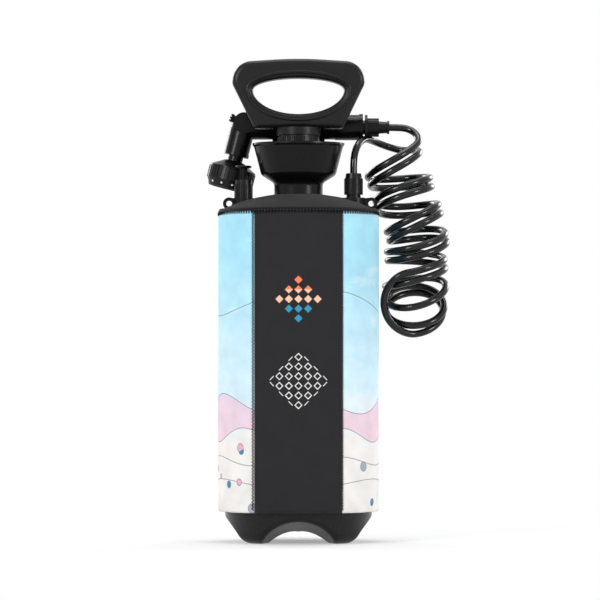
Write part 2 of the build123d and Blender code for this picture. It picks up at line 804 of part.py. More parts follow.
def inlet_nut():
    """Ribbed union nut with its collar."""
    nut = extrude(ribbed_outline(inlet_nut_radius, 0.7, 20), inlet_nut_width)
    nut += disc(inlet_collar_radius, 0, inlet_collar_width)
    nut -= disc(inlet_neck_radius + thread_gap, 0, inlet_nut_width - inlet_nut_floor)
    return along_x(nut - disc(tail_neck_radius + thread_gap, 0, inlet_nut_width), inlet_nut_x)


def inlet_seal():
    """Washer between the housing's neck and the hose tail."""
    return along_x(ring(inlet_neck_radius - slide_gap, hose_radius - 1, 0, seal_thickness), inlet_neck_end_x)


def hose_tail():
    """Tail that the nut pulls against the washer, and the sleeve that grips the hose."""
    start = inlet_neck_end_x + seal_thickness
    flange_end = tail_x - inlet_nut_floor
    length = hose_end_x - start
    outline = [
        (0, 0),
        (inlet_neck_radius - slide_gap, 0),
        (inlet_neck_radius - slide_gap, flange_end - start),
        (tail_neck_radius, flange_end - start),
        (tail_neck_radius, tail_x - start),
        (tail_radius, tail_x - start),
        (tail_radius - 0.6, length - tail_flange_width),
        (tail_flange_radius, length - tail_flange_width),
        (tail_flange_radius, length),
        (0, length),
    ]
    return along_x(turned(outline), start)


def rose_neck():
    """Short neck between the head and the rose."""
    bottom = -head_length - rose_neck_length - rose_socket
    return head_place * disc(rose_neck_radius, bottom, -head_length)


def rose_shell():
    """Conical back of the rose with the spigot that carries the pattern ring."""
    top = -head_length - rose_neck_length
    rim = top - rose_cone_length
    collar = rose_neck_radius + thread_gap + rose_wall
    spigot_end = rose_ring_z - rose_ring_length
    outline = [
        (rose_neck_radius + thread_gap, top),
        (collar, top),
        (rose_radius - 0.6, rim + 1.5),
        (rose_radius - 0.6, rim),
        (rose_radius - 3 * rose_wall, rim),
        (rose_spigot_radius, top - rose_socket - rose_wall),
        (rose_spigot_radius, spigot_end),
        (0, spigot_end),
        (0, top - rose_socket),
        (rose_neck_radius + thread_gap, top - rose_socket),
    ]
    return head_place * turned(outline)


def pattern_ring():
    """Knurled ring that is turned to choose the spray, with its tapered bezel."""
    low = rose_ring_z - rose_ring_length
    bezel_end = low - rose_bezel_length
    grip = Pos(0, 0, low) * extrude(ribbed_outline(rose_radius, 0.9, 36), rose_ring_length)
    grip += turned(
        [
            (0, low),
            (rose_radius - 0.9, low),
            (rose_bezel_radius, bezel_end),
            (0, bezel_end),
        ]
    )
    bore = rose_radius - 0.9 - rose_wall
    grip -= disc(bore, low, rose_ring_z)
    mouth = rose_bezel_radius - rose_wall
    grip -= turned([(0, low), (bore, low), (mouth, bezel_end), (0, bezel_end)])
    return head_place * grip


def spray_face():
    """Pierced face with the hub that turns on the spigot."""
    low = rose_ring_z - rose_ring_length
    back = low - spray_face_setback
    share = (spray_face_setback + spray_face_thickness) / rose_bezel_length
    bore = rose_radius - 0.9 - rose_wall
    radius = bore + (rose_bezel_radius - rose_wall - bore) * share - thread_gap
    face = disc(radius, back - spray_face_thickness, back)
    face += ring(rose_spigot_radius + rose_running_gap + rose_wall, rose_spigot_radius + rose_running_gap, back, low + 6)
    nozzle = RegularPolygon(spray_hole_radius, 6)
    hole = Pos(0, 0, back - spray_face_thickness) * extrude(nozzle, spray_face_thickness)
    for count, distance in ((6, 0.4 * radius), (12, 0.78 * radius)):
        for turn in range(count):
            face -= Rot(0, 0, 360 * turn / count) * Pos(distance, 0, 0) * hole
    return head_place * face


def cord_tube(points, radius, bore=0.0):
    """Tube along straight runs joined by tangent arcs; prints its radii and compares its volume."""
    runs = [Vector(b) - Vector(a) for a, b in zip(points, points[1:])]
    radii = []
    for before, after in zip(runs, runs[1:]):
        half_turn = math.radians(before.get_angle(after)) / 2
        radii.append(0.45 * min(before.length, after.length) / math.tan(half_turn))
    path = FilletPolyline(*points, radius=radii)
    section = Circle(radius) - Circle(bore) if bore else Circle(radius)
    tube = sweep(Plane(origin=path @ 0, z_dir=path % 0) * section, path=path)
    expected = section.area * path.length
    print("radii", [round(r) for r in radii], "volume", round(tube.volume), "expected", round(expected))
    return tube


def hose_pieces():
    """The two leads, and the coil with a bed for each lead's end."""
    pieces = {
        "hose_outlet_lead": cord_tube([(port_distance, 0, hose_start_z)] + outlet_lead_route, hose_radius),
        "hose_handset_lead": cord_tube([(hose_end_x, handset_y, handset_z)] + handset_lead_route, hose_radius),
    }
    coil = cord_tube(coil_route, coil_radius, coil_bore_radius)
    for lead in list(pieces.values()):
        coil -= lead
    pieces["hose_coil"] = coil
    return pieces


def export(node, solid):
    """Write one piece to its own file."""
    export_step(solid, "parts/" + node + ".step")


def main():
    os.makedirs("parts", exist_ok=True)
    front = (-90 - front_panel_half_angle, -90 + front_panel_half_angle)
    pieces = {
        "tank_bottle": tank_bottle(),
        "filling_funnel": filling_funnel(),
        "handset_cradle": handset_cradle(),
        "sleeve_front_panel": jacket_panel(front[0], front[1]),
        "sleeve_right_panel": jacket_panel(front[1], 90),
        "sleeve_left_panel": jacket_panel(90, 360 + front[0]),
        "shoulder_cover": shoulder_cover(),
        "relief_base": relief_base(),
        "relief_cap": relief_cap(),
        "relief_spring": relief_spring(),
        "relief_pull": relief_pull(),
        "relief_seal": relief_seal(),
        "outlet_base": outlet_base(),
        "outlet_barb": outlet_barb(),
        "outlet_nut": outlet_nut(),
        "dip_tube": dip_tube(),
        "dip_filter": dip_filter(),
        "neck_seal": neck_seal(),
        "pump_cylinder": pump_cylinder(),
        "pump_cap": pump_cap(),
        "foot_valve": foot_valve(),
        "handle_grip": handle_grip(),
        "rod_pin": rod_pin(),
        "pump_rod": pump_rod(),
        "piston": piston(),
        "piston_cup": piston_cup(),
        "handset_tube": handset_tube(),
        "spray_head": spray_head(),
        "head_cover": head_cover(),
        "thumb_lever": thumb_lever(),
        "lever_pin": lever_pin(),
        "inlet_body": inlet_body(),
        "inlet_nut": inlet_nut(),
        "inlet_seal": inlet_seal(),
        "hose_tail": hose_tail(),
        "rose_neck": rose_neck(),
        "rose_shell": rose_shell(),
        "pattern_ring": pattern_ring(),
        "spray_face": spray_face(),
    }
    pieces.update(hose_pieces())
    for node, solid in pieces.items():
        export(node, solid)


main()
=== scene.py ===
import bmesh
import bpy
import math
from mathutils import Matrix, Vector


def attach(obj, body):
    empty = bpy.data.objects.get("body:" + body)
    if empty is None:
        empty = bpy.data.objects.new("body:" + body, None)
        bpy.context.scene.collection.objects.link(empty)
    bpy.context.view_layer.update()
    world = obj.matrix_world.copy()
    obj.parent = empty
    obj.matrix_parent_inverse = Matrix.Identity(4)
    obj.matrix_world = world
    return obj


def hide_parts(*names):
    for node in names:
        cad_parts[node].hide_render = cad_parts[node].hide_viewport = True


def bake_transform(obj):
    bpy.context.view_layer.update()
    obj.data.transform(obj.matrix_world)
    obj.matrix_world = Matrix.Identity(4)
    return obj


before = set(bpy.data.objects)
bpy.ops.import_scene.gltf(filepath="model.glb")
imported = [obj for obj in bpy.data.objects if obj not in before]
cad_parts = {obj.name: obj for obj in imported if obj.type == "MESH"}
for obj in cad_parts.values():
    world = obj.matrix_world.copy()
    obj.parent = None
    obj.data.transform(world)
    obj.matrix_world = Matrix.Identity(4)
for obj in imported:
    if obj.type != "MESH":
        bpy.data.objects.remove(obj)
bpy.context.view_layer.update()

# Sizes are in metres. The tank's axis is the Z axis, and the front panel faces -Y.

# Camera, as the photograph was taken
camera_place = Vector((0.00165, -4.3, 0.19))
camera_target = Vector((0.00165, 0.0, 0.26565))
camera_lens = 234.6
lamp_target = Vector((0, 0, 0.27))

# Recoil hose
hose_radius = 0.004
outlet_lead_route = [
    (0.0605, 0.0, 0.3919),
    (0.0605, 0.0000, 0.4140),
    (0.0615, 0.0020, 0.4260),
    (0.0645, 0.0080, 0.4355),
    (0.0690, 0.0190, 0.4420),
    (0.0745, 0.0320, 0.4450),
    (0.0820, 0.0445, 0.4435),
    (0.0910, 0.0540, 0.4405),
    (0.1015, 0.0595, 0.4370),
]
handset_lead_route = [
    (0.1008, 0.041, 0.458),
    (0.1120, 0.0410, 0.4580),
    (0.1205, 0.0402, 0.4568),
    (0.1280, 0.0370, 0.4530),
    (0.1325, 0.0305, 0.4470),
    (0.1330, 0.0220, 0.4405),
]
coil_route = [
    (0.0965, 0.031, 0.438),
    (0.107, 0.033, 0.411),
    (0.1248, 0.036, 0.368),
    (0.1310, 0.036, 0.335),
    (0.1290, 0.034, 0.304),
    (0.1290, 0.037, 0.282),
    (0.1295, 0.050, 0.258),
]
coil_turn_radius = 0.0335
coil_turns = 7.5
turns_before_hairpin = 4.5
coil_closes_up = 1.5
coil_points_per_turn = 14
outlet_start_turn = 0.08
handset_start_turn = 0.38
strand_drop = 0.0100
top_side_tilt = 17.0
bottom_front_tilt = 46.0
tilt_starts = 0.42
hairpin_points = 11
hairpin_swing = 0.006

# Unevenness of the coil: size, rate and phase of each wave along its turns
centre_wave = (0.0014, 2.3, 0.4)
side_wave = (5.0, 2.7, 0.6)
front_wave = (5.0, 1.9, 2.0)
radius_wave = (0.03, 1.7, -0.4)
top_ring_shrinks = 0.07

# Handle: its finger opening, and the bead that runs round it
opening_half = 0.050
opening_belly = 0.0270
opening_brow = 0.0125
opening_middle = 0.4971
bead_offset = 0.0066
bead_depth = 0.0126
bead_radius = 0.0022
bead_points = 120

# Jacket
jacket_bottom = 0.034
jacket_top = 0.361
jacket_radius = 0.0883
jacket_thickness = 0.0028
seam_angle = 33.0
seam_gap = 0.1
stitch_pitch = 0.0036
stitch_radius = 0.00060
stitch_lift = 0.0001
straight_pitch = 0.0032
tooth_reach = 0.0031
seam_starts = 0.003
seam_ends_short = 0.004

# Slack of the jacket: how far seams and hems draw it in, its waves (size, rate round the tank, rate upwards,
# phase), and the crease above the lower hem
seam_draw = 0.0009
seam_draw_width = 0.0018
hem_draw = 0.0008
hem_draw_width = 0.0016
slack_waves = ((0.00022, 5, 21, 0.0), (0.00016, 3, -47, 1.3))
slack_ease = 0.02
crease_height = 0.048
crease_swing = 0.010
crease_depth = 0.00035
crease_width = 0.0045

# Shoulder cover: its dome, its hem (distance from the axis, height) and its waves (size, rate round the tank,
# rate outwards)
cover_dome_centre = 0.1802
cover_dome_radius = 0.2031
cover_hem = ((0.0882, 0.3612), (0.0881, 0.3634), (0.0868, 0.3654))
cover_outside = 0.0846
cover_inside = 0.0273
cover_rings = 22
cover_steps = 160
cover_waves = ((0.0003, 7, 40), (0.00025, 4, -90))

# Painted dots on the rose's bezel
rose_lean = 14.0
rose_elbow = Vector((-0.0615, 0.041, 0.458))
bezel_distance = 0.0327 + 0.0063 + 0.0096 + 0.0003 + 0.0129 + 0.0042
bezel_radius = 0.02375
bezel_dots = 12
dot_radius = 0.0013
dot_depth = 0.00025


def srgb(red, green, blue):
    """Linear colour of an 8-bit display colour."""
    channels = []
    for value in (red, green, blue):
        value /= 255
        channels.append(value / 12.92 if value <= 0.04045 else ((value + 0.055) / 1.055) ** 2.4)
    return (*channels, 1.0)


def put(tree, kind, settings=None, **values):
    """Add a shader node, set its options, and set or link its inputs by name."""
    made = tree.nodes.new("ShaderNode" + kind)
    for key, value in (settings or {}).items():
        setattr(made, key, value)
    for key, value in values.items():
        by_number = key[0] == "i" and key[1:].isdigit()
        socket = made.inputs[int(key[1:]) if by_number else key.replace("_", " ")]
        if isinstance(value, bpy.types.NodeSocket):
            tree.links.new(value, socket)
        else:
            socket.default_value = value
    return made


def maths(tree, operation, first, second=0.0, third=0.0, clamp=False):
    """Output of a Math node."""
    settings = {"operation": operation, "use_clamp": clamp}
    return put(tree, "Math", settings, i0=first, i1=second, i2=third).outputs[0]


def blend_colours(tree, share, first, second):
    """Output of a colour Mix node."""
    mixed = put(tree, "Mix", {"data_type": "RGBA"}, i0=share, i6=first, i7=second)
    return mixed.outputs[2]


def ramp(tree, value, low, high, start=0.0, end=1.0):
    """Value mapped from one range to another and held at its ends."""
    mapped = put(tree, "MapRange", None, Value=value, From_Min=low, From_Max=high, To_Min=start, To_Max=end)
    return mapped.outputs[0]


def new_group(name, inputs, outputs):
    """Empty shader node group with named sockets; returns it with its two end nodes."""
    group = bpy.data.node_groups.new(name, "ShaderNodeTree")
    for label, kind, default in inputs:
        socket = group.interface.new_socket(name=label, in_out="INPUT", socket_type="NodeSocket" + kind)
        if default is not None:
            socket.default_value = default
    for label, kind in outputs:
        group.interface.new_socket(name=label, in_out="OUTPUT", socket_type="NodeSocket" + kind)
    return group, group.nodes.new("NodeGroupInput"), group.nodes.new("NodeGroupOutput")


def moulded_skin_group():
    """Fine spark-eroded grain, slow changes of gloss and faint handling marks of moulded plastic."""
    group, given, result = new_group(
        "moulded_skin",
        [
            ("Color", "Color", (0.02, 0.02, 0.02, 1)),
            ("Roughness", "Float", 0.4),
            ("Grain", "Float", 1400.0),
            ("Depth", "Float", 0.2),
            ("Marks", "Float", 0.1),
        ],
        [("Color", "Color"), ("Roughness", "Float"), ("Normal", "Vector")],
    )
    place = put(group, "TexCoord").outputs["Object"]
    grain = put(
        group, "TexNoise", None, Vector=place, Scale=given.outputs["Grain"], Detail=3.0, Roughness=0.6
    )
    slow = put(group, "TexNoise", None, Vector=place, Scale=38.0, Detail=2.0)
    stretch = put(group, "Mapping", None, Vector=place, Rotation=(0.4, 0.2, 0.7), Scale=(60.0, 420.0, 420.0))
    streaks = put(group, "TexNoise", None, Vector=stretch.outputs[0], Scale=1.0, Detail=4.0, Roughness=0.7)
    marks = maths(group, "MULTIPLY", ramp(group, streaks.outputs[0], 0.62, 0.78), given.outputs["Marks"])
    drift = ramp(group, slow.outputs[0], 0.3, 0.7, -1.0, 1.0)
    sheen = maths(group, "MULTIPLY_ADD", drift, 0.035, given.outputs["Roughness"])
    rough = maths(group, "ADD", sheen, maths(group, "MULTIPLY", marks, 0.6), clamp=True)
    faint = maths(group, "MULTIPLY", marks, 0.35)
    light = blend_colours(group, faint, given.outputs["Color"], (0.22, 0.22, 0.23, 1))
    bump = put(group, "Bump", None, Strength=given.outputs["Depth"], Distance=0.0002, Height=grain.outputs[0])
    group.links.new(light, result.inputs["Color"])
    group.links.new(rough, result.inputs["Roughness"])
    group.links.new(bump.outputs[0], result.inputs["Normal"])
    return group


def knit_group():
    """Jersey face of neoprene: fine columns of loops on the piece's own UV map, in metres."""
    group, given, result = new_group(
        "jersey_knit",
        [("Color", "Color", (0.03, 0.03, 0.03, 1)), ("Pitch", "Float", 0.0009), ("Depth", "Float", 0.5)],
        [("Color", "Color"), ("Roughness", "Float"), ("Normal", "Vector")],
    )
    place = put(group, "TexCoord").outputs["UV"]
    apart = put(group, "SeparateXYZ", None, Vector=place)
    turns = maths(group, "DIVIDE", 2 * math.pi, given.outputs["Pitch"])
    column = maths(group, "SINE", maths(group, "MULTIPLY", apart.outputs[0], turns))
    sway = maths(group, "MULTIPLY", maths(group, "ABSOLUTE", column), 1.2)
    rows = maths(group, "MULTIPLY", apart.outputs[1], turns)
    course = maths(group, "SINE", maths(group, "ADD", rows, sway))
    loops = maths(group, "MULTIPLY_ADD", maths(group, "MULTIPLY", column, course), 0.5, 0.5)
    fuzz = put(group, "TexNoise", None, Vector=place, Scale=2600.0, Detail=2.0)
    broad = put(group, "TexNoise", None, Vector=place, Scale=42.0, Detail=3.0)
    height = maths(group, "MULTIPLY_ADD", fuzz.outputs[0], 0.6, loops)
    bump = put(group, "Bump", None, Strength=given.outputs["Depth"], Distance=0.00025, Height=height)
    dye = maths(group, "MULTIPLY_ADD", loops, 0.10, ramp(group, broad.outputs[0], 0.3, 0.7, 0.88, 1.0))
    tone = put(group, "CombineXYZ", None, X=dye, Y=dye, Z=dye)
    multiply = {"data_type": "RGBA", "blend_type": "MULTIPLY"}
    dyed = put(group, "Mix", multiply, i0=1.0, i6=given.outputs["Color"], i7=tone.outputs[0])
    rough = ramp(group, fuzz.outputs[0], 0.3, 0.7, 0.82, 0.95)
    group.links.new(dyed.outputs[2], result.inputs["Color"])
    group.links.new(rough, result.inputs["Roughness"])
    group.links.new(bump.outputs[0], result.inputs["Normal"])
    return group


moulded_skin = moulded_skin_group()
jersey_knit = knit_group()


def new_material(name):
    """Empty material with a Principled shader; returns the material, its tree and the shader."""
    material = bpy.data.materials.new(name)
    material.use_nodes = True
    tree = material.node_tree
    return material, tree, tree.nodes["Principled BSDF"]


def wire_group(tree, group, shader, **values):
    """Place a finish group in a material and join its outputs to the shader."""
    made = tree.nodes.new("ShaderNodeGroup")
    made.node_tree = group
    for key, value in values.items():
        if isinstance(value, bpy.types.NodeSocket):
            tree.links.new(value, made.inputs[key])
        else:
            made.inputs[key].default_value = value
    tree.links.new(made.outputs["Color"], shader.inputs["Base Color"])
    tree.links.new(made.outputs["Roughness"], shader.inputs["Roughness"])
    tree.links.new(made.outputs["Normal"], shader.inputs["Normal"])
    return made


def plastic(name, colour, roughness, grain=1400.0, depth=0.2, marks=0.1, coat=0.0, specular=0.25):
    """Moulded plastic of one colour."""
    material, tree, shader = new_material(name)
    values = {"Color": colour, "Roughness": roughness, "Grain": grain, "Depth": depth, "Marks": marks}
    wire_group(tree, moulded_skin, shader, **values)
    shader.inputs["Coat Weight"].default_value = coat
    shader.inputs["Coat Roughness"].default_value = 0.12
    shader.inputs["Specular IOR Level"].default_value = specular
    return material


def steel(name):
    """Drawn spring steel with fine lengthwise scratches."""
    material, tree, shader = new_material(name)
    values = {"Color": (0.52, 0.52, 0.54, 1), "Roughness": 0.28, "Grain": 5200.0, "Depth": 0.12, "Marks": 0.3}
    wire_group(tree, moulded_skin, shader, **values)
    shader.inputs["Metallic"].default_value = 1.0
    return material


def cloth_shader(name, colour_of):
    """Neoprene with a jersey face, whose colour comes from a function of its tree and UV coordinates."""
    material, tree, shader = new_material(name)
    place = put(tree, "TexCoord").outputs["UV"]
    apart = put(tree, "SeparateXYZ", None, Vector=place)
    colour = colour_of(tree, place, apart.outputs[0], apart.outputs[1])
    wire_group(tree, jersey_knit, shader, Color=colour, Pitch=0.0009, Depth=0.45)
    shader.inputs["Sheen Weight"].default_value = 0.06
    shader.inputs["Sheen Roughness"].default_value = 0.5
    shader.inputs["Specular IOR Level"].default_value = 0.15
    return material


charcoal = srgb(37, 36, 39)
soot = srgb(20, 20, 21)
sky_blue = srgb(168, 224, 243)
mist_blue = srgb(212, 236, 247)
sand_white = srgb(238, 235, 232)
slate_ink = srgb(70, 84, 104)
coral = srgb(240, 128, 84)
pale_coral = srgb(246, 190, 160)
teal = srgb(52, 142, 178)
chalk = srgb(232, 232, 230)
blush = srgb(236, 176, 204)
dove_grey = srgb(168, 172, 184)


def bare_cloth(tree, place, across, height):
    """Plain charcoal."""
    made = put(tree, "RGB")
    made.outputs[0].default_value = soot
    return made.outputs[0]


def diamond_distance(tree, across, height, pitch):
    """Distance from the centre of the nearest cell of a diamond lattice, in cells."""
    columns = maths(tree, "MULTIPLY_ADD", across, 1 / pitch, 100.5)
    rows = maths(tree, "MULTIPLY", height, 1 / pitch)
    sideways = maths(tree, "SUBTRACT", maths(tree, "FRACT", columns), 0.5)
    upwards = maths(tree, "SUBTRACT", maths(tree, "FRACT", rows), 0.5)
    return maths(tree, "ADD", maths(tree, "ABSOLUTE", sideways), maths(tree, "ABSOLUTE", upwards))


def within(tree, value, low, high, soft):
    """Mask that is 1 between two values, with soft ends."""
    over = ramp(tree, value, low - soft, low + soft)
    under = ramp(tree, value, high - soft, high + soft, 1.0, 0.0)
    return maths(tree, "MULTIPLY", over, under)


def lozenge_reach(tree, across, height, middle):
    """Distance from a point of the panel's middle line, counted sideways plus upwards."""
    rise = maths(tree, "ABSOLUTE", maths(tree, "SUBTRACT", height, middle))
    return maths(tree, "ADD", maths(tree, "ABSOLUTE", across), rise)


def diamond_trim(tree, place, across, height):
    """Charcoal with a lozenge made of small woven diamonds and a few pale outlines below it."""
    pitch = 0.0104
    middle = 0.2652
    reach = 0.0262
    distance = diamond_distance(tree, across, height, pitch)
    filled = ramp(tree, distance, 0.40, 0.44, 1.0, 0.0)
    lean = lozenge_reach(tree, across, height, middle)
    lozenge = maths(tree, "MULTIPLY", filled, ramp(tree, lean, reach, reach + 0.0004, 1.0, 0.0))
    warm = blend_colours(tree, ramp(tree, height, middle + pitch, middle + 1.02 * pitch), pale_coral, coral)
    hue = blend_colours(tree, ramp(tree, height, middle - 0.52 * pitch, middle - 0.5 * pitch), teal, warm)
    colour = blend_colours(tree, lozenge, charcoal, hue)
    outline = within(tree, distance, 0.30, 0.42, 0.02)
    band = within(tree, height, 14 * pitch, 20 * pitch, 0.0001)
    taper = ramp(tree, lozenge_reach(tree, across, height, 17 * pitch), 0.033, 0.0334, 1.0, 0.0)
    pale = maths(tree, "MULTIPLY", outline, maths(tree, "MULTIPLY", band, taper))
    return blend_colours(tree, pale, colour, chalk)


def wavy_height(tree, across, height, level, swell, waves, shift):
    """Height above a wavy line."""
    phase = maths(tree, "MULTIPLY_ADD", across, waves, shift)
    wave = maths(tree, "MULTIPLY", maths(tree, "SINE", phase), swell)
    return maths(tree, "SUBTRACT", height, maths(tree, "ADD", wave, level))


def dune_print(tree, place, across, height):
    """Blue that fades downwards to sand white, crossed by fine wavy lines, with a scatter of pebbles."""
    stretched = put(tree, "Mapping", None, Vector=place, Scale=(9.0, 34.0, 1.0))
    cloud = put(tree, "TexNoise", None, Vector=stretched.outputs[0], Scale=1.0, Detail=4.0, Roughness=0.55)
    fade = maths(tree, "MULTIPLY_ADD", cloud.outputs[0], 0.10, maths(tree, "SUBTRACT", height, 0.05))
    sky = blend_colours(tree, ramp(tree, fade, 0.16, 0.31), mist_blue, sky_blue)
    sky = blend_colours(tree, ramp(tree, cloud.outputs[0], 0.58, 0.72, 0.0, 0.55), sky, (0.93, 0.96, 0.98, 1))
    colour = blend_colours(tree, ramp(tree, fade, 0.115, 0.165), sand_white, sky)
    ridge = wavy_height(tree, across, height, 0.152, 0.011, 42.0, 0.6)
    valley = wavy_height(tree, across, height, 0.118, 0.008, 57.0, 2.1)
    under_ridge = ramp(tree, ridge, -0.0003, 0.0003, 1.0, 0.0)
    over_valley = ramp(tree, valley, -0.0003, 0.0003)
    between = maths(tree, "MULTIPLY", under_ridge, over_valley)
    colour = blend_colours(tree, maths(tree, "MULTIPLY", between, 0.5), colour, blush)
    lines = [ridge, valley]
    lines.append(wavy_height(tree, across, height, 0.262, 0.014, 23.0, 1.1))
    lines.append(wavy_height(tree, across, height, 0.090, 0.005, 48.0, 0.2))
    lines.append(wavy_height(tree, across, height, 0.066, 0.004, 36.0, 1.7))
    for line in lines:
        thin = ramp(tree, maths(tree, "ABSOLUTE", line), 0.00025, 0.0005, 0.8, 0.0)
        colour = blend_colours(tree, thin, colour, slate_ink)
    cells = put(tree, "TexVoronoi", {"feature": "F1"}, Vector=place, Scale=52.0, Randomness=0.85)
    chosen = put(tree, "SeparateColor", None, Color=cells.outputs["Color"])
    stone = ramp(tree, cells.outputs["Distance"], 0.26, 0.28, 1.0, 0.0)
    laid = maths(tree, "GREATER_THAN", chosen.outputs[0], 0.62)
    kept = maths(tree, "MULTIPLY", stone, laid)
    low = ramp(tree, valley, -0.004, -0.001, 1.0, 0.0)
    hue = blend_colours(tree, maths(tree, "GREATER_THAN", chosen.outputs[1], 0.5), dove_grey, blush)
    hue = blend_colours(tree, maths(tree, "GREATER_THAN", chosen.outputs[2], 0.66), hue, teal)
    colour = blend_colours(tree, maths(tree, "MULTIPLY", kept, low), colour, hue)
    rim = within(tree, cells.outputs["Distance"], 0.255, 0.285, 0.008)
    rimmed = maths(tree, "MULTIPLY", maths(tree, "MULTIPLY", rim, low), laid)
    return blend_colours(tree, maths(tree, "MULTIPLY", rimmed, 0.8), colour, slate_ink)


def seen_directly(tree):
    """Mask that is 1 for rays of the camera, of reflections and of clear pieces."""
    path = put(tree, "LightPath")
    mirrored = maths(tree, "MAXIMUM", path.outputs["Is Camera Ray"], path.outputs["Is Glossy Ray"])
    return maths(tree, "MAXIMUM", mirrored, path.outputs["Is Transmission Ray"])


def floor_material():
    """Pale floor that keeps the object's shadow near it and fades to white further out."""
    material, tree, shader = new_material("studio_floor")
    tree.nodes.remove(shader)
    spread = put(tree, "VectorMath", {"operation": "LENGTH"}, i0=put(tree, "TexCoord").outputs["Object"])
    matt = put(tree, "BsdfDiffuse", None, Color=(0.86, 0.86, 0.87, 1))
    glow = put(tree, "Emission", None, Color=(1.0, 1.0, 1.0, 1), Strength=1.0)
    seen = seen_directly(tree)
    share = maths(tree, "MULTIPLY", seen, ramp(tree, spread.outputs["Value"], 0.12, 0.9, 0.35, 1.0))
    mixed = put(tree, "MixShader", None, i0=share, i1=matt.outputs[0], i2=glow.outputs[0])
    tree.links.new(mixed.outputs[0], tree.nodes["Material Output"].inputs["Surface"])
    return material


black_satin = plastic("black_satin_plastic", srgb(12, 12, 13), 0.25, depth=0.12, marks=0.08, specular=0.16)
handle_plastic = plastic(
    "handle_plastic", srgb(20, 20, 21), 0.34, grain=1100.0, depth=0.25, marks=0.1, specular=0.19
)
nut_plastic = plastic("nut_plastic", srgb(17, 17, 18), 0.30, depth=0.15, marks=0.12, specular=0.20)
bottle_plastic = plastic(
    "bottle_plastic", srgb(22, 22, 23), 0.27, grain=700.0, depth=0.2, marks=0.12, specular=0.20
)
inner_plastic = plastic("inner_plastic", srgb(30, 30, 31), 0.5, depth=0.2, marks=0.05)
natural_plastic = plastic("natural_plastic", srgb(214, 216, 210), 0.42, depth=0.1, marks=0.05)
seal_rubber = plastic("seal_rubber", srgb(30, 30, 30), 0.7, grain=2400.0, depth=0.3, marks=0.1)
hose_gloss = plastic(
    "hose_gloss_plastic", srgb(11, 11, 12), 0.18, grain=260.0, depth=0.05, marks=0.1, coat=0.2, specular=0.25
)
spring_steel = steel("spring_steel")
white_paint = plastic("white_pad_print", srgb(225, 225, 222), 0.5, depth=0.1, marks=0.02)
thread_black = plastic(
    "thread_black", srgb(14, 14, 15), 0.7, grain=4200.0, depth=0.4, marks=0.0, specular=0.10
)
# Pale grey thread whose colour paints the highlights that fall between the black teeth of the top seam
painted_highlight_thread = plastic("painted_highlight_thread", srgb(96, 94, 96), 0.6, grain=4200.0, depth=0.5, marks=0.2)
dark_cloth = cloth_shader("dark_neoprene_cloth", bare_cloth)
front_cloth = cloth_shader("front_neoprene_cloth", diamond_trim)
side_cloth = cloth_shader("printed_neoprene_cloth", dune_print)

node_finish = {
    black_satin: [
        "filling_funnel", "handset_cradle", "relief_base", "relief_pull", "outlet_base", "outlet_barb",
        "handset_tube", "spray_head", "head_cover", "lever_pin", "thumb_lever", "inlet_body", "rose_neck",
        "rose_shell",
    ],
    handle_plastic: ["handle_grip"],
    nut_plastic: [
        "relief_cap", "outlet_nut", "pump_cap", "inlet_nut",
        "hose_tail", "pattern_ring", "spray_face",
    ],
    bottle_plastic: ["tank_bottle"],
    inner_plastic: ["pump_cylinder", "pump_rod", "piston", "dip_filter"],
    natural_plastic: ["dip_tube"],
    seal_rubber: ["relief_seal", "neck_seal", "foot_valve", "piston_cup", "inlet_seal"],
    spring_steel: ["relief_spring", "rod_pin"],
}


def finish_nodes():
    """Give every carried-over CAD node its material."""
    for material, names in node_finish.items():
        for name in names:
            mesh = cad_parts[name].data
            for index in range(len(mesh.materials)):
                mesh.materials[index] = material
            if not mesh.materials:
                mesh.materials.append(material)


def make_piece(name, form, material, smooth=True):
    """Turn a bmesh into a piece of the scene at the origin."""
    mesh = bpy.data.meshes.new(name)
    form.to_mesh(mesh)
    form.free()
    mesh.materials.append(material)
    for face in mesh.polygons:
        face.use_smooth = smooth
    piece = bpy.data.objects.new(name, mesh)
    bpy.context.scene.collection.objects.link(piece)
    return piece


def spline_object(name, points):
    """Open NURBS curve with the given control points."""
    curve = bpy.data.curves.new(name, "CURVE")
    curve.dimensions = "3D"
    curve.resolution_u = 6
    spline = curve.splines.new("NURBS")
    spline.points.add(len(points) - 1)
    for point, place in zip(spline.points, points):
        point.co = (*place, 1.0)
    spline.order_u = 3
    spline.use_endpoint_u = True
    line = bpy.data.objects.new(name, curve)
    bpy.context.scene.collection.objects.link(line)
    return line


def line_points(line):
    """Points along a curve that has no bevel."""
    bpy.context.view_layer.update()
    mesh = bpy.data.meshes.new_from_object(line)
    points = [vertex.co.copy() for vertex in mesh.vertices]
    bpy.data.meshes.remove(mesh)
    return points


def remove_line(line):
    """Take away a helper curve."""
    curve = line.data
    bpy.data.objects.remove(line)
    bpy.data.curves.remove(curve)


def along(points, share):
    """Place at a share of a line's length."""
    lengths = [(b - a).length for a, b in zip(points, points[1:])]
    rest = share * sum(lengths)
    for start, end, length in zip(points, points[1:], lengths):
        if rest <= length:
            return start.lerp(end, rest / length)
        rest -= length
    return points[-1].copy()


def wave(turn, size, rate, phase):
    """Height of a wave at a turn of the coil."""
    return size * math.sin(rate * turn + phase)


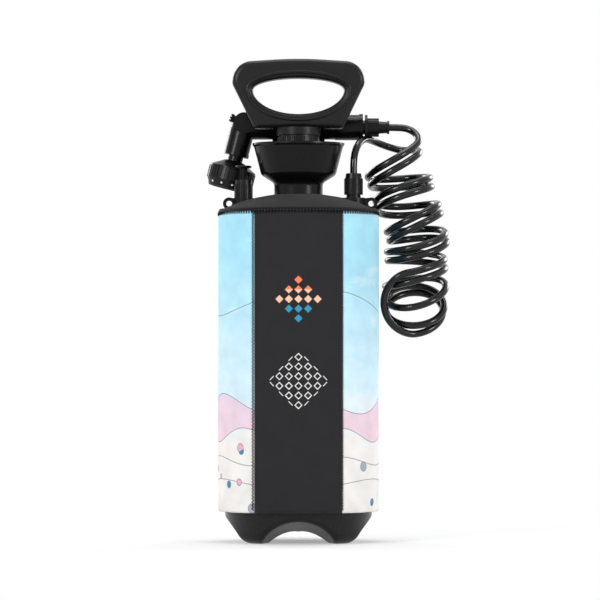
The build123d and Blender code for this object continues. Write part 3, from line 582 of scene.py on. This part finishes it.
def strand_point(centre_line, turn, drop):
    """Point of a strand of the coil; turns count from the top ring's back, and drop lowers it."""
    share = turn / coil_turns
    centre = along(centre_line, 1 - (1 - share) ** coil_closes_up)
    centre.x += wave(turn, *centre_wave)
    side = math.radians(top_side_tilt * (1 - share) + wave(turn, *side_wave))
    late = max(0.0, (share - tilt_starts) / (1 - tilt_starts))
    front = math.radians(bottom_front_tilt * late + wave(turn, *front_wave))
    radius = coil_turn_radius * (1 - top_ring_shrinks * math.exp(-turn) + wave(turn, *radius_wave))
    angle = 2 * math.pi * turn
    right = Vector((math.cos(side), 0, math.sin(side)))
    back = Vector((0, math.cos(front), math.sin(front)))
    down = -right.cross(back).normalized()
    ring = right * (radius * math.sin(angle)) + back * (radius * math.cos(angle))
    return centre + ring + down * drop


def strand(centre_line, start, end, drop):
    """Control points of one strand between two turns."""
    steps = round((end - start) * coil_points_per_turn)
    turns = [start + (end - start) * step / steps for step in range(steps + 1)]
    return [strand_point(centre_line, turn, drop) for turn in turns]


def hairpin(start, end):
    """Points of the upright half turn in front of the coil in which one strand becomes the other."""
    middle = (start + end) / 2
    reach = (start.z - end.z) / 2
    points = []
    for step in range(1, hairpin_points):
        angle = math.pi * step / hairpin_points
        place = start.lerp(end, step / hairpin_points)
        across = place.x - reach * math.sin(angle)
        depth = place.y - hairpin_swing * math.sin(angle)
        points.append(Vector((across, depth, middle.z + reach * math.cos(angle))))
    return points


def hose_route(centre_line):
    """Control points of the hose: from the outlet down one strand, round the hairpin, up the other."""
    upper = strand(centre_line, handset_start_turn, turns_before_hairpin, 0.0)
    lower = strand(centre_line, outlet_start_turn, coil_turns, strand_drop)
    loop = hairpin(upper[-1], lower[-1])
    return [*outlet_lead_route, *lower, *reversed(loop), *reversed(upper), *reversed(handset_lead_route)]


def recoil_hose():
    """Glossy hose coiled in two strands, from the outlet to the handset."""
    guide = spline_object("coil_guide", coil_route)
    centre_line = line_points(guide)
    remove_line(guide)
    line = spline_object("hose_line", hose_route(centre_line))
    path = line_points(line)
    line.data.bevel_depth = hose_radius
    line.data.bevel_resolution = 4
    line.data.use_fill_caps = True
    bpy.context.view_layer.update()
    mesh = bpy.data.meshes.new_from_object(line)
    remove_line(line)
    mesh.name = "recoil_hose"
    mesh.materials.clear()
    mesh.materials.append(hose_gloss)
    for face in mesh.polygons:
        face.use_smooth = True
    piece = bpy.data.objects.new("recoil_hose", mesh)
    bpy.context.scene.collection.objects.link(piece)
    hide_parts("hose_outlet_lead", "hose_coil", "hose_handset_lead")
    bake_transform(piece)
    return piece


def round_tank(angle, height, radius):
    """Point round the tank at an angle from the front, counted towards +X."""
    turn = math.radians(angle)
    return Vector((radius * math.sin(turn), -radius * math.cos(turn), height))


def jacket_surface(angle, height, start, end):
    """Distance of a panel's face from the axis: slack cloth, drawn in at its seams and hems."""
    arc = math.radians(min(angle - start, end - angle)) * jacket_radius
    hem = min(height - jacket_bottom, jacket_top - height)
    seam = seam_draw * math.exp(-arc / seam_draw_width) + hem_draw * math.exp(-hem / hem_draw_width)
    turn = math.radians(angle)
    slack = 0.0
    for size, round_rate, up_rate, phase in slack_waves:
        slack += size * math.sin(round_rate * turn + up_rate * height + phase)
    above = height - crease_height - crease_swing * math.sin(4 * turn)
    crease = crease_depth * math.exp(-((above / crease_width) ** 2))
    return jacket_radius - seam + slack * min(1.0, arc / slack_ease) - crease


def jacket_panel(name, start, end, material, node):
    """Sheet of neoprene round the tank between two seams, with its own UV map in metres."""
    arc = math.radians(end - start) * jacket_radius
    across = max(8, round(arc / 0.0024))
    upwards = round((jacket_top - jacket_bottom) / 0.0026)
    form = bmesh.new()
    bmesh.ops.create_grid(form, x_segments=across, y_segments=upwards, size=0.5)
    uv_layer = form.loops.layers.uv.new("UVMap")
    middle = (start + end) / 2
    for vertex in form.verts:
        side = math.copysign(abs(2 * vertex.co.x) ** 0.9, vertex.co.x) / 2
        angle = middle + side * (end - start)
        height = jacket_bottom + (vertex.co.y + 0.5) * (jacket_top - jacket_bottom)
        vertex.co = round_tank(angle, height, jacket_surface(angle, height, start, end))
    for face in form.faces:
        for loop in face.loops:
            place = loop.vert.co
            angle = math.degrees(math.atan2(place.x, -place.y))
            if angle < start - 1:
                angle += 360
            from_middle = angle - (0 if material == front_cloth else 180)
            loop[uv_layer].uv = (math.radians(from_middle) * jacket_radius, place.z)
    bmesh.ops.recalc_face_normals(form, faces=form.faces)
    bmesh.ops.solidify(form, geom=form.faces[:], thickness=jacket_thickness)
    piece = make_piece(name, form, material)
    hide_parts(node)
    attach(piece, "root")
    return piece


def cover_height(distance):
    """Height of the shoulder cover's face at a distance from the axis."""
    return cover_dome_centre + math.sqrt(cover_dome_radius**2 - distance**2)


def held(value):
    """Value kept between 0 and 1."""
    return max(0.0, min(1.0, value))


def shoulder_cover():
    """Neoprene cover over the shoulder, spun from its section, with soft waves and a rolled outer hem."""
    form = bmesh.new()
    section = [Vector((distance, 0, height)) for distance, height in cover_hem]
    for ring in range(cover_rings + 1):
        distance = cover_outside + (cover_inside - cover_outside) * ring / cover_rings
        section.append(Vector((distance, 0, cover_height(distance))))
    verts = [form.verts.new(point) for point in section]
    edges = [form.edges.new(pair) for pair in zip(verts, verts[1:])]
    bmesh.ops.spin(
        form,
        geom=verts + edges,
        cent=(0, 0, 0),
        axis=(0, 0, 1),
        angle=2 * math.pi,
        steps=cover_steps,
        use_merge=True,
    )
    bmesh.ops.remove_doubles(form, verts=form.verts, dist=0.00001)
    for vertex in form.verts:
        distance = math.hypot(vertex.co.x, vertex.co.y)
        turn = math.atan2(vertex.co.y, vertex.co.x)
        ease = held((0.086 - distance) / 0.02) * held((distance - 0.030) / 0.015)
        for size, round_rate, out_rate in cover_waves:
            vertex.co.z += ease * size * math.sin(round_rate * turn + out_rate * distance)
    bmesh.ops.recalc_face_normals(form, faces=form.faces)
    uv_layer = form.loops.layers.uv.new("UVMap")
    for face in form.faces:
        for loop in face.loops:
            loop[uv_layer].uv = (loop.vert.co.x, loop.vert.co.y)
    bmesh.ops.solidify(form, geom=form.faces[:], thickness=jacket_thickness)
    piece = make_piece("cover_cloth", form, dark_cloth)
    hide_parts("shoulder_cover")
    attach(piece, "root")
    return piece


def add_stitch(form, place, along_thread, outward, length, radius):
    """One visible run of thread: a small rounded grain that lies on the cloth."""
    side = outward.cross(along_thread).normalized()
    turn = Matrix((side, outward, along_thread)).transposed().to_4x4()
    shape = Matrix.Diagonal((radius, 0.8 * radius, length / 2, 1.0))
    spot = Matrix.Translation(place) @ turn @ shape
    bmesh.ops.create_uvsphere(form, u_segments=6, v_segments=5, radius=1.0, matrix=spot)


def zigzag_seam(name, angle, side, material):
    """Overlock teeth that reach from a standing seam over the printed panel."""
    form = bmesh.new()
    count = round((jacket_top - jacket_bottom - seam_ends_short) / stitch_pitch)
    reach = math.degrees(tooth_reach / jacket_radius) * side
    for step in range(count):
        height = jacket_bottom + seam_starts + step * stitch_pitch
        inner = round_tank(angle, height, jacket_radius + stitch_lift)
        outer = round_tank(angle + reach, height + stitch_pitch / 2, jacket_radius + stitch_lift)
        back = round_tank(angle, height + stitch_pitch, jacket_radius + stitch_lift)
        for start, end in ((inner, outer), (outer, back)):
            middle = (start + end) / 2
            outward = Vector((middle.x, middle.y, 0)).normalized()
            run = end - start
            add_stitch(form, middle, run.normalized(), outward, run.length + stitch_radius, stitch_radius)
    piece = make_piece(name, form, material)
    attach(piece, "root")
    return piece


def straight_seam(name, angle, material):
    """Row of short straight stitches beside a standing seam."""
    form = bmesh.new()
    count = round((jacket_top - jacket_bottom - seam_ends_short) / straight_pitch)
    for step in range(count):
        height = jacket_bottom + seam_starts + (step + 0.5) * straight_pitch
        place = round_tank(angle, height, jacket_radius - stitch_lift)
        outward = Vector((place.x, place.y, 0)).normalized()
        add_stitch(form, place, Vector((0, 0, 1)), outward, 0.8 * straight_pitch, stitch_radius)
    piece = make_piece(name, form, material)
    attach(piece, "root")
    return piece


def top_seam():
    """Overlock teeth on the seam between the cover and the panels: black threads, with grey ones between them
    by turns that are painted highlights.
    """
    around = 2 * math.pi * jacket_radius
    count = round(around / stitch_pitch)
    threads = (
        ("top_stitches_black", thread_black, 0.0, 1.5, 0.0034),
        # The grey teeth between the black ones are painted highlights
        ("top_stitches_painted_highlight", painted_highlight_thread, 0.5, 0.55, -0.0004),
    )
    for name, material, shift, width, fall in threads:
        form = bmesh.new()
        for step in range(count):
            angle = 360 * (step + shift) / count
            high = round_tank(angle, jacket_top + 0.0012, jacket_radius + stitch_lift)
            low = round_tank(angle + 90 * shift / count, jacket_top - fall, jacket_radius)
            middle = (high + low) / 2
            outward = Vector((middle.x, middle.y, 0)).normalized()
            run = low - high
            add_stitch(form, middle, run.normalized(), outward, run.length, width * stitch_radius)
        piece = make_piece(name, form, material)
        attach(piece, "root")


def bezel_marks():
    """Small painted dots on the rose's tapered bezel, one for each spray pattern."""
    lean = math.radians(rose_lean)
    axis = Vector((-math.sin(lean), 0, -math.cos(lean)))
    side = Vector((math.cos(lean), 0, -math.sin(lean)))
    front = Vector((0, -1, 0))
    centre = rose_elbow + axis * bezel_distance
    form = bmesh.new()
    for step in range(bezel_dots):
        turn = 2 * math.pi * (step + 0.35) / bezel_dots
        outward = (side * math.sin(turn) + front * math.cos(turn)).normalized()
        normal = (outward * 0.93 + axis * 0.36).normalized()
        place = centre + outward * bezel_radius
        spot = place + normal * 0.0001
        tangent = normal.cross(axis).normalized()
        turn_matrix = Matrix((tangent, normal.cross(tangent), normal)).transposed().to_4x4()
        shape = Matrix.Diagonal((dot_radius, dot_radius, dot_depth, 1.0))
        where = Matrix.Translation(spot) @ turn_matrix @ shape
        bmesh.ops.create_uvsphere(form, u_segments=12, v_segments=6, radius=1.0, matrix=where)
    piece = make_piece("bezel_marks", form, white_paint)
    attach(piece, "pattern_ring")


def opening_bead():
    """Raised bead round the finger opening, on the front and the back of the handle."""
    for name, side in (("front_bead", -1), ("back_bead", 1)):
        curve = bpy.data.curves.new(name, "CURVE")
        curve.dimensions = "3D"
        curve.bevel_depth = bead_radius
        curve.bevel_resolution = 3
        spline = curve.splines.new("POLY")
        spline.points.add(bead_points - 1)
        spline.use_cyclic_u = True
        for step, point in enumerate(spline.points):
            angle = 2 * math.pi * step / bead_points
            rise = (opening_brow if math.sin(angle) > 0 else opening_belly) + bead_offset
            across = (opening_half + bead_offset) * math.cos(angle)
            point.co = (across, side * bead_depth, opening_middle + rise * math.sin(angle), 1.0)
        line = bpy.data.objects.new(name + "_line", curve)
        bpy.context.scene.collection.objects.link(line)
        bpy.context.view_layer.update()
        form = bmesh.new()
        swept = bpy.data.meshes.new_from_object(line)
        form.from_mesh(swept)
        bpy.data.meshes.remove(swept)
        remove_line(line)
        bmesh.ops.recalc_face_normals(form, faces=form.faces)
        piece = make_piece(name, form, handle_plastic)
        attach(piece, "pump_handle")


def studio():
    """Floor, lamps, white world and the camera."""
    form = bmesh.new()
    bmesh.ops.create_grid(form, x_segments=1, y_segments=1, size=6.0)
    mesh = bpy.data.meshes.new("floor")
    form.to_mesh(mesh)
    form.free()
    mesh.materials.append(floor_material())
    floor = bpy.data.objects.new("floor", mesh)
    bpy.context.scene.collection.objects.link(floor)
    lamps = (
        ("key", (-1.4, -1.9, 1.2), 0.7, 33.0),
        ("fill", (1.7, -1.5, 0.8), 0.7, 21.0),
        ("top", (0.1, 0.1, 1.9), 1.1, 13.0),
        ("left_rim", (-1.2, 1.5, 1.0), 1.0, 16.0),
        ("right_rim", (1.3, 1.4, 1.0), 1.0, 16.0),
    )
    for name, place, size, power in lamps:
        light = bpy.data.lights.new(name, "AREA")
        light.shape = "DISK"
        light.size = size
        light.energy = power
        lamp = bpy.data.objects.new(name, light)
        bpy.context.scene.collection.objects.link(lamp)
        lamp.location = place
        lamp.rotation_euler = (lamp_target - Vector(place)).to_track_quat("-Z", "Y").to_euler()
    world = bpy.data.worlds.new("white_studio")
    bpy.context.scene.world = world
    world.use_nodes = True
    tree = world.node_tree
    seen = seen_directly(tree)
    strength = ramp(tree, seen, 0.0, 1.0, 0.30, 1.0)
    background = tree.nodes["Background"]
    background.inputs["Color"].default_value = (1.0, 1.0, 1.0, 1)
    tree.links.new(strength, background.inputs["Strength"])
    camera = bpy.data.cameras.new("camera")
    camera.lens = camera_lens
    camera.clip_end = 50
    eye = bpy.data.objects.new("camera", camera)
    bpy.context.scene.collection.objects.link(eye)
    eye.location = camera_place
    eye.rotation_euler = (camera_target - camera_place).to_track_quat("-Z", "Y").to_euler()
    bpy.context.scene.camera = eye
    bpy.context.scene.view_settings.view_transform = "Standard"


studio()
recoil_hose()
finish_nodes()
front_seam = seam_angle - seam_gap
side_seam = seam_angle + seam_gap
jacket_panel("front_panel_cloth", -front_seam, front_seam, front_cloth, "sleeve_front_panel")
jacket_panel(
    "right_panel_cloth", side_seam, 180 - seam_gap, side_cloth, "sleeve_right_panel"
)
jacket_panel(
    "left_panel_cloth", 180 + seam_gap, 360 - side_seam, side_cloth, "sleeve_left_panel"
)
shoulder_cover()
zigzag_seam("left_seam_stitches", -seam_angle, -1, thread_black)
straight_seam("right_seam_stitches", seam_angle, thread_black)
zigzag_seam("back_seam_stitches", 180, 1, thread_black)
top_seam()
bezel_marks()
opening_bead()
